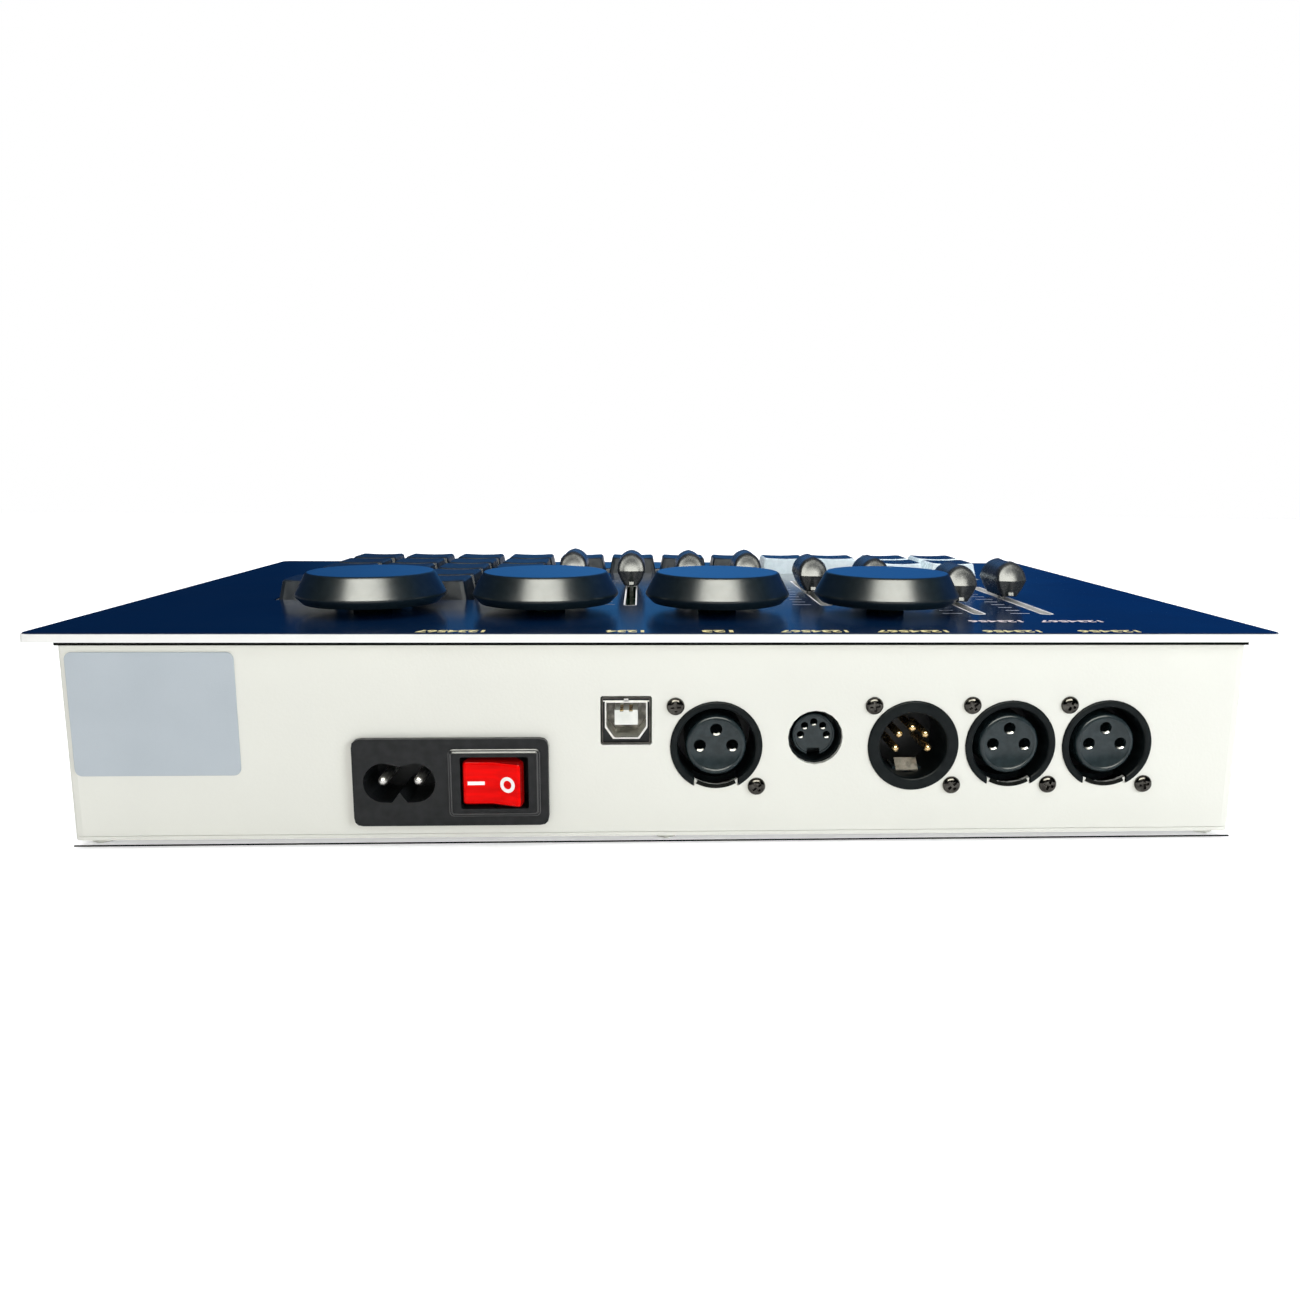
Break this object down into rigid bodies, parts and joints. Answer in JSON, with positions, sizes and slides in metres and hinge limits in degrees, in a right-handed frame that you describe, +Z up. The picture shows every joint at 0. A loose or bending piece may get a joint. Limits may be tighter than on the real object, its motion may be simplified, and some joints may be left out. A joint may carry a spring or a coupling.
{
  "type": "lighting fader wing",
  "caption": "Desktop stage lighting control wing: shallow white case, glossy navy deck with square keys, slide faders, round encoder knobs and a rear socket panel.",
  "frame": {"origin": "centre of the deck's outline, on the surface that the rubber feet stand on", "axes": "+X to the right as one faces the socket panel, +Y from the socket panel to the operator's edge, +Z up"},
  "size_m": [0.305, 0.182, 0.0668],
  "materials": {
    "white_paint": "satin powder coat",
    "navy_film": "glossy printed film",
    "circuit_board": "solder mask",
    "black_plastic": "satin moulded",
    "bright_metal": "nickel plated",
    "foot_rubber": "matte",
    "dark_key": "satin gloss moulded",
    "pale_key": "translucent pale grey blue",
    "cap_plastic": "glossy moulded",
    "knob_grey": "satin charcoal",
    "red_rocker": "translucent red",
    "label_film": "blank grey label",
    "printed_ink": "pale screen print"
  },
  "bodies": {
    "case": {"deck_plate": "white_paint", "deck_film": "navy_film", "wall_frame": "white_paint", "base_plate": "white_paint", "rubber_foot_rear_left": "foot_rubber", "rubber_foot_rear_right": "foot_rubber", "rubber_foot_front_left": "foot_rubber", "rubber_foot_front_right": "foot_rubber", "control_board": "circuit_board", "io_board": "circuit_board", "power_inlet": "black_plastic", "usb_socket": "bright_metal", "din_socket": "black_plastic", "xlr_male_socket": "black_plastic", "xlr_female_socket_1": "black_plastic", "xlr_female_socket_4": "black_plastic", "xlr_female_socket_5": "black_plastic"},
    "keycap_r1_c1": {"keycap_r1_c1": "dark_key"},
    "keycap_r2_c1": {"keycap_r2_c1": "dark_key"},
    "keycap_r3_c1": {"keycap_r3_c1": "dark_key"},
    "keycap_r4_c1": {"keycap_r4_c1": "dark_key"},
    "keycap_r5_c1": {"keycap_r5_c1": "dark_key"},
    "keycap_r1_c2": {"keycap_r1_c2": "dark_key"},
    "keycap_r2_c2": {"keycap_r2_c2": "dark_key"},
    "keycap_r3_c2": {"keycap_r3_c2": "dark_key"},
    "keycap_r4_c2": {"keycap_r4_c2": "dark_key"},
    "keycap_r5_c2": {"keycap_r5_c2": "dark_key"},
    "keycap_r1_c3": {"keycap_r1_c3": "dark_key"},
    "keycap_r2_c3": {"keycap_r2_c3": "dark_key"},
    "keycap_r3_c3": {"keycap_r3_c3": "dark_key"},
    "keycap_r4_c3": {"keycap_r4_c3": "dark_key"},
    "keycap_r5_c3": {"keycap_r5_c3": "dark_key"},
    "keycap_r1_c4": {"keycap_r1_c4": "dark_key"},
    "keycap_r2_c4": {"keycap_r2_c4": "dark_key"},
    "keycap_r3_c4": {"keycap_r3_c4": "dark_key"},
    "keycap_r4_c4": {"keycap_r4_c4": "dark_key"},
    "keycap_r5_c4": {"keycap_r5_c4": "dark_key"},
    "keycap_r5_c5": {"keycap_r5_c5": "dark_key"},
    "keycap_r5_c6": {"keycap_r5_c6": "dark_key"},
    "keycap_r5_c7": {"keycap_r5_c7": "dark_key"},
    "keycap_r5_c8": {"keycap_r5_c8": "dark_key"},
    "keycap_r5_c9": {"keycap_r5_c9": "pale_key"},
    "keycap_r5_c10": {"keycap_r5_c10": "pale_key"},
    "keycap_r4_c11": {"keycap_r4_c11": "pale_key"},
    "keycap_r5_c11": {"keycap_r5_c11": "pale_key"},
    "keycap_r4_c12": {"keycap_r4_c12": "pale_key"},
    "keycap_r5_c12": {"keycap_r5_c12": "pale_key"},
    "fader_cap_1": {"fader_cap_1": "cap_plastic"},
    "fader_cap_2": {"fader_cap_2": "cap_plastic"},
    "fader_cap_3": {"fader_cap_3": "cap_plastic"},
    "fader_cap_4": {"fader_cap_4": "cap_plastic"},
    "fader_cap_5": {"fader_cap_5": "cap_plastic"},
    "fader_cap_6": {"fader_cap_6": "cap_plastic"},
    "fader_cap_7": {"fader_cap_7": "cap_plastic"},
    "fader_cap_8": {"fader_cap_8": "cap_plastic"},
    "encoder_knob_1": {"encoder_knob_1": "knob_grey"},
    "encoder_knob_2": {"encoder_knob_2": "knob_grey"},
    "encoder_knob_3": {"encoder_knob_3": "knob_grey"},
    "encoder_knob_4": {"encoder_knob_4": "knob_grey"},
    "power_rocker": {"power_rocker": "red_rocker"}
  },
  "joints": [
    {"name": "press_r1_c1", "type": "slide", "parent": "case", "child": "keycap_r1_c1", "axis": [0, 0, -1], "range_m": [0, 0.002], "stiffness_N_per_m": 250, "springref_m": -0.001},
    {"name": "press_r2_c1", "type": "slide", "parent": "case", "child": "keycap_r2_c1", "axis": [0, 0, -1], "range_m": [0, 0.002], "stiffness_N_per_m": 250, "springref_m": -0.001},
    {"name": "press_r3_c1", "type": "slide", "parent": "case", "child": "keycap_r3_c1", "axis": [0, 0, -1], "range_m": [0, 0.002], "stiffness_N_per_m": 250, "springref_m": -0.001},
    {"name": "press_r4_c1", "type": "slide", "parent": "case", "child": "keycap_r4_c1", "axis": [0, 0, -1], "range_m": [0, 0.002], "stiffness_N_per_m": 250, "springref_m": -0.001},
    {"name": "press_r5_c1", "type": "slide", "parent": "case", "child": "keycap_r5_c1", "axis": [0, 0, -1], "range_m": [0, 0.002], "stiffness_N_per_m": 250, "springref_m": -0.001},
    {"name": "press_r1_c2", "type": "slide", "parent": "case", "child": "keycap_r1_c2", "axis": [0, 0, -1], "range_m": [0, 0.002], "stiffness_N_per_m": 250, "springref_m": -0.001},
    {"name": "press_r2_c2", "type": "slide", "parent": "case", "child": "keycap_r2_c2", "axis": [0, 0, -1], "range_m": [0, 0.002], "stiffness_N_per_m": 250, "springref_m": -0.001},
    {"name": "press_r3_c2", "type": "slide", "parent": "case", "child": "keycap_r3_c2", "axis": [0, 0, -1], "range_m": [0, 0.002], "stiffness_N_per_m": 250, "springref_m": -0.001},
    {"name": "press_r4_c2", "type": "slide", "parent": "case", "child": "keycap_r4_c2", "axis": [0, 0, -1], "range_m": [0, 0.002], "stiffness_N_per_m": 250, "springref_m": -0.001},
    {"name": "press_r5_c2", "type": "slide", "parent": "case", "child": "keycap_r5_c2", "axis": [0, 0, -1], "range_m": [0, 0.002], "stiffness_N_per_m": 250, "springref_m": -0.001},
    {"name": "press_r1_c3", "type": "slide", "parent": "case", "child": "keycap_r1_c3", "axis": [0, 0, -1], "range_m": [0, 0.002], "stiffness_N_per_m": 250, "springref_m": -0.001},
    {"name": "press_r2_c3", "type": "slide", "parent": "case", "child": "keycap_r2_c3", "axis": [0, 0, -1], "range_m": [0, 0.002], "stiffness_N_per_m": 250, "springref_m": -0.001},
    {"name": "press_r3_c3", "type": "slide", "parent": "case", "child": "keycap_r3_c3", "axis": [0, 0, -1], "range_m": [0, 0.002], "stiffness_N_per_m": 250, "springref_m": -0.001},
    {"name": "press_r4_c3", "type": "slide", "parent": "case", "child": "keycap_r4_c3", "axis": [0, 0, -1], "range_m": [0, 0.002], "stiffness_N_per_m": 250, "springref_m": -0.001},
    {"name": "press_r5_c3", "type": "slide", "parent": "case", "child": "keycap_r5_c3", "axis": [0, 0, -1], "range_m": [0, 0.002], "stiffness_N_per_m": 250, "springref_m": -0.001},
    {"name": "press_r1_c4", "type": "slide", "parent": "case", "child": "keycap_r1_c4", "axis": [0, 0, -1], "range_m": [0, 0.002], "stiffness_N_per_m": 250, "springref_m": -0.001},
    {"name": "press_r2_c4", "type": "slide", "parent": "case", "child": "keycap_r2_c4", "axis": [0, 0, -1], "range_m": [0, 0.002], "stiffness_N_per_m": 250, "springref_m": -0.001},
    {"name": "press_r3_c4", "type": "slide", "parent": "case", "child": "keycap_r3_c4", "axis": [0, 0, -1], "range_m": [0, 0.002], "stiffness_N_per_m": 250, "springref_m": -0.001},
    {"name": "press_r4_c4", "type": "slide", "parent": "case", "child": "keycap_r4_c4", "axis": [0, 0, -1], "range_m": [0, 0.002], "stiffness_N_per_m": 250, "springref_m": -0.001},
    {"name": "press_r5_c4", "type": "slide", "parent": "case", "child": "keycap_r5_c4", "axis": [0, 0, -1], "range_m": [0, 0.002], "stiffness_N_per_m": 250, "springref_m": -0.001},
    {"name": "press_r5_c5", "type": "slide", "parent": "case", "child": "keycap_r5_c5", "axis": [0, 0, -1], "range_m": [0, 0.002], "stiffness_N_per_m": 250, "springref_m": -0.001},
    {"name": "press_r5_c6", "type": "slide", "parent": "case", "child": "keycap_r5_c6", "axis": [0, 0, -1], "range_m": [0, 0.002], "stiffness_N_per_m": 250, "springref_m": -0.001},
    {"name": "press_r5_c7", "type": "slide", "parent": "case", "child": "keycap_r5_c7", "axis": [0, 0, -1], "range_m": [0, 0.002], "stiffness_N_per_m": 250, "springref_m": -0.001},
    {"name": "press_r5_c8", "type": "slide", "parent": "case", "child": "keycap_r5_c8", "axis": [0, 0, -1], "range_m": [0, 0.002], "stiffness_N_per_m": 250, "springref_m": -0.001},
    {"name": "press_r5_c9", "type": "slide", "parent": "case", "child": "keycap_r5_c9", "axis": [0, 0, -1], "range_m": [0, 0.002], "stiffness_N_per_m": 250, "springref_m": -0.001},
    {"name": "press_r5_c10", "type": "slide", "parent": "case", "child": "keycap_r5_c10", "axis": [0, 0, -1], "range_m": [0, 0.002], "stiffness_N_per_m": 250, "springref_m": -0.001},
    {"name": "press_r4_c11", "type": "slide", "parent": "case", "child": "keycap_r4_c11", "axis": [0, 0, -1], "range_m": [0, 0.002], "stiffness_N_per_m": 250, "springref_m": -0.001},
    {"name": "press_r5_c11", "type": "slide", "parent": "case", "child": "keycap_r5_c11", "axis": [0, 0, -1], "range_m": [0, 0.002], "stiffness_N_per_m": 250, "springref_m": -0.001},
    {"name": "press_r4_c12", "type": "slide", "parent": "case", "child": "keycap_r4_c12", "axis": [0, 0, -1], "range_m": [0, 0.002], "stiffness_N_per_m": 250, "springref_m": -0.001},
    {"name": "press_r5_c12", "type": "slide", "parent": "case", "child": "keycap_r5_c12", "axis": [0, 0, -1], "range_m": [0, 0.002], "stiffness_N_per_m": 250, "springref_m": -0.001},
    {"name": "fader_1_slide", "type": "slide", "parent": "case", "child": "fader_cap_1", "axis": [0, 1, 0], "range_m": [-0.0293, 0.0108]},
    {"name": "fader_2_slide", "type": "slide", "parent": "case", "child": "fader_cap_2", "axis": [0, 1, 0], "range_m": [-0.0245, 0.0156]},
    {"name": "fader_3_slide", "type": "slide", "parent": "case", "child": "fader_cap_3", "axis": [0, 1, 0], "range_m": [-0.0245, 0.0156]},
    {"name": "fader_4_slide", "type": "slide", "parent": "case", "child": "fader_cap_4", "axis": [0, 1, 0], "range_m": [-0.0269, 0.0132]},
    {"name": "fader_5_slide", "type": "slide", "parent": "case", "child": "fader_cap_5", "axis": [0, 1, 0], "range_m": [-0.0113, 0.0288]},
    {"name": "fader_6_slide", "type": "slide", "parent": "case", "child": "fader_cap_6", "axis": [0, 1, 0], "range_m": [-0.0083, 0.0318]},
    {"name": "fader_7_slide", "type": "slide", "parent": "case", "child": "fader_cap_7", "axis": [0, 1, 0], "range_m": [-0.0234, 0.0366]},
    {"name": "fader_8_slide", "type": "slide", "parent": "case", "child": "fader_cap_8", "axis": [0, 1, 0], "range_m": [-0.0354, 0.0246]},
    {"name": "encoder_1_turn", "type": "hinge", "parent": "case", "child": "encoder_knob_1", "pos_m": [-0.08036, -0.0504, 0.055], "axis": [0, 0, 1], "continuous": true},
    {"name": "encoder_2_turn", "type": "hinge", "parent": "case", "child": "encoder_knob_2", "pos_m": [-0.03274, -0.0504, 0.055], "axis": [0, 0, 1], "continuous": true},
    {"name": "encoder_3_turn", "type": "hinge", "parent": "case", "child": "encoder_knob_3", "pos_m": [0.01489, -0.0504, 0.055], "axis": [0, 0, 1], "continuous": true},
    {"name": "encoder_4_turn", "type": "hinge", "parent": "case", "child": "encoder_knob_4", "pos_m": [0.06251, -0.0504, 0.055], "axis": [0, 0, 1], "continuous": true},
    {"name": "power_rocker_tilt", "type": "hinge", "parent": "case", "child": "power_rocker", "pos_m": [-0.0427, -0.0858, 0.01685], "axis": [0, 0, 1], "range_deg": [0, 22]}
  ]
}
